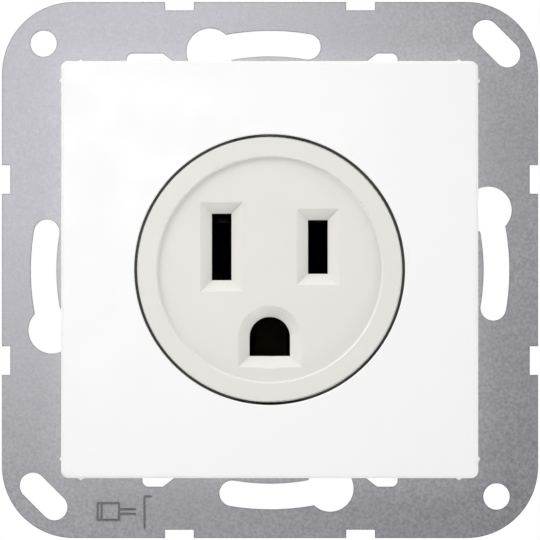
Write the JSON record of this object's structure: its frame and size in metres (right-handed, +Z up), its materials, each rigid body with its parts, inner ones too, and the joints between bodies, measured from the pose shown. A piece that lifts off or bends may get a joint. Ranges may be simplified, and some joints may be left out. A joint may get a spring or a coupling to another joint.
{
  "type": "flush-mounted socket outlet",
  "caption": "Flush grounded socket outlet: white clip-on centre plate, round face with blade slots and a D-shaped ground hole, steel support frame, insulated insert with side screw terminals.",
  "frame": {"origin": "on the socket's axis, in the plane of the support frame's rear face, which lies on the wall", "axes": "+X to the right as seen from the room, +Y into the wall, +Z up"},
  "size_m": [0.071, 0.0315, 0.071],
  "materials": {
    "white_plastic": "moulded, satin to glossy, white",
    "ivory_plastic": "moulded, satin, warm white",
    "grey_plastic": "moulded thermoset, matte, dark grey",
    "black_plastic": "moulded thermoset, matte, near black",
    "galvanised_steel": "hot-dip galvanised sheet, fine grain, stamped edges",
    "spring_steel": "cold-rolled strip, smooth",
    "zinc_plated_steel": "bright zinc plate",
    "contact_bronze": "bronze strip, rolled",
    "brass_screw": "brass plate",
    "silver_screw": "nickel plate",
    "green_screw": "green dye over zinc plate"
  },
  "bodies": {
    "insert": {"socket_face": "ivory_plastic", "support_frame": "galvanised_steel", "contact_retainer": "grey_plastic", "rear_base": "black_plastic", "assembly_screws": "zinc_plated_steel", "line_contact": "contact_bronze", "neutral_contact": "contact_bronze", "ground_contact": "contact_bronze", "line_jaw_spring": "spring_steel", "neutral_jaw_spring": "spring_steel", "ground_jaw_spring": "spring_steel", "line_nut_plate": "zinc_plated_steel", "neutral_nut_plate": "zinc_plated_steel", "ground_nut_plate": "zinc_plated_steel", "ground_strap": "galvanised_steel", "ground_strap_rivet": "zinc_plated_steel"},
    "cover": {"cover_plate": "white_plastic", "cover_clips": "spring_steel"},
    "line_clamp": {"line_clamp_plate": "zinc_plated_steel"},
    "line_screw": {"line_terminal_screw": "brass_screw"},
    "neutral_clamp": {"neutral_clamp_plate": "zinc_plated_steel"},
    "neutral_screw": {"neutral_terminal_screw": "silver_screw"},
    "ground_clamp": {"ground_clamp_plate": "zinc_plated_steel"},
    "ground_screw": {"ground_terminal_screw": "green_screw"}
  },
  "joints": [
    {"name": "cover_pull", "type": "slide", "parent": "insert", "child": "cover", "axis": [0, -1, 0], "range_m": [0, 0.014], "deforming": ["cover_clips"]},
    {"name": "line_clamp_travel", "type": "slide", "parent": "insert", "child": "line_clamp", "axis": [1, 0, 0], "range_m": [-0.0025, 0]},
    {"name": "line_screw_turn", "type": "hinge", "parent": "line_clamp", "child": "line_screw", "pos_m": [0.0211, 0.009, 0], "axis": [1, 0, 0], "range_deg": [-1501, 0]},
    {"name": "neutral_clamp_travel", "type": "slide", "parent": "insert", "child": "neutral_clamp", "axis": [-1, 0, 0], "range_m": [-0.0025, 0]},
    {"name": "neutral_screw_turn", "type": "hinge", "parent": "neutral_clamp", "child": "neutral_screw", "pos_m": [-0.0211, 0.009, 0], "axis": [-1, 0, 0], "range_deg": [-1501, 0]},
    {"name": "ground_clamp_travel", "type": "slide", "parent": "insert", "child": "ground_clamp", "axis": [0, 0, -1], "range_m": [-0.0025, 0]},
    {"name": "ground_screw_turn", "type": "hinge", "parent": "ground_clamp", "child": "ground_screw", "pos_m": [0, 0.009, -0.0211], "axis": [0, 0, -1], "range_deg": [-1501, 0]}
  ],
  "couplings": [
    {"joint": "line_screw_turn", "follows": "line_clamp_travel", "rad_per_m": 10472},
    {"joint": "neutral_screw_turn", "follows": "neutral_clamp_travel", "rad_per_m": 10472},
    {"joint": "ground_screw_turn", "follows": "ground_clamp_travel", "rad_per_m": 10472}
  ]
}
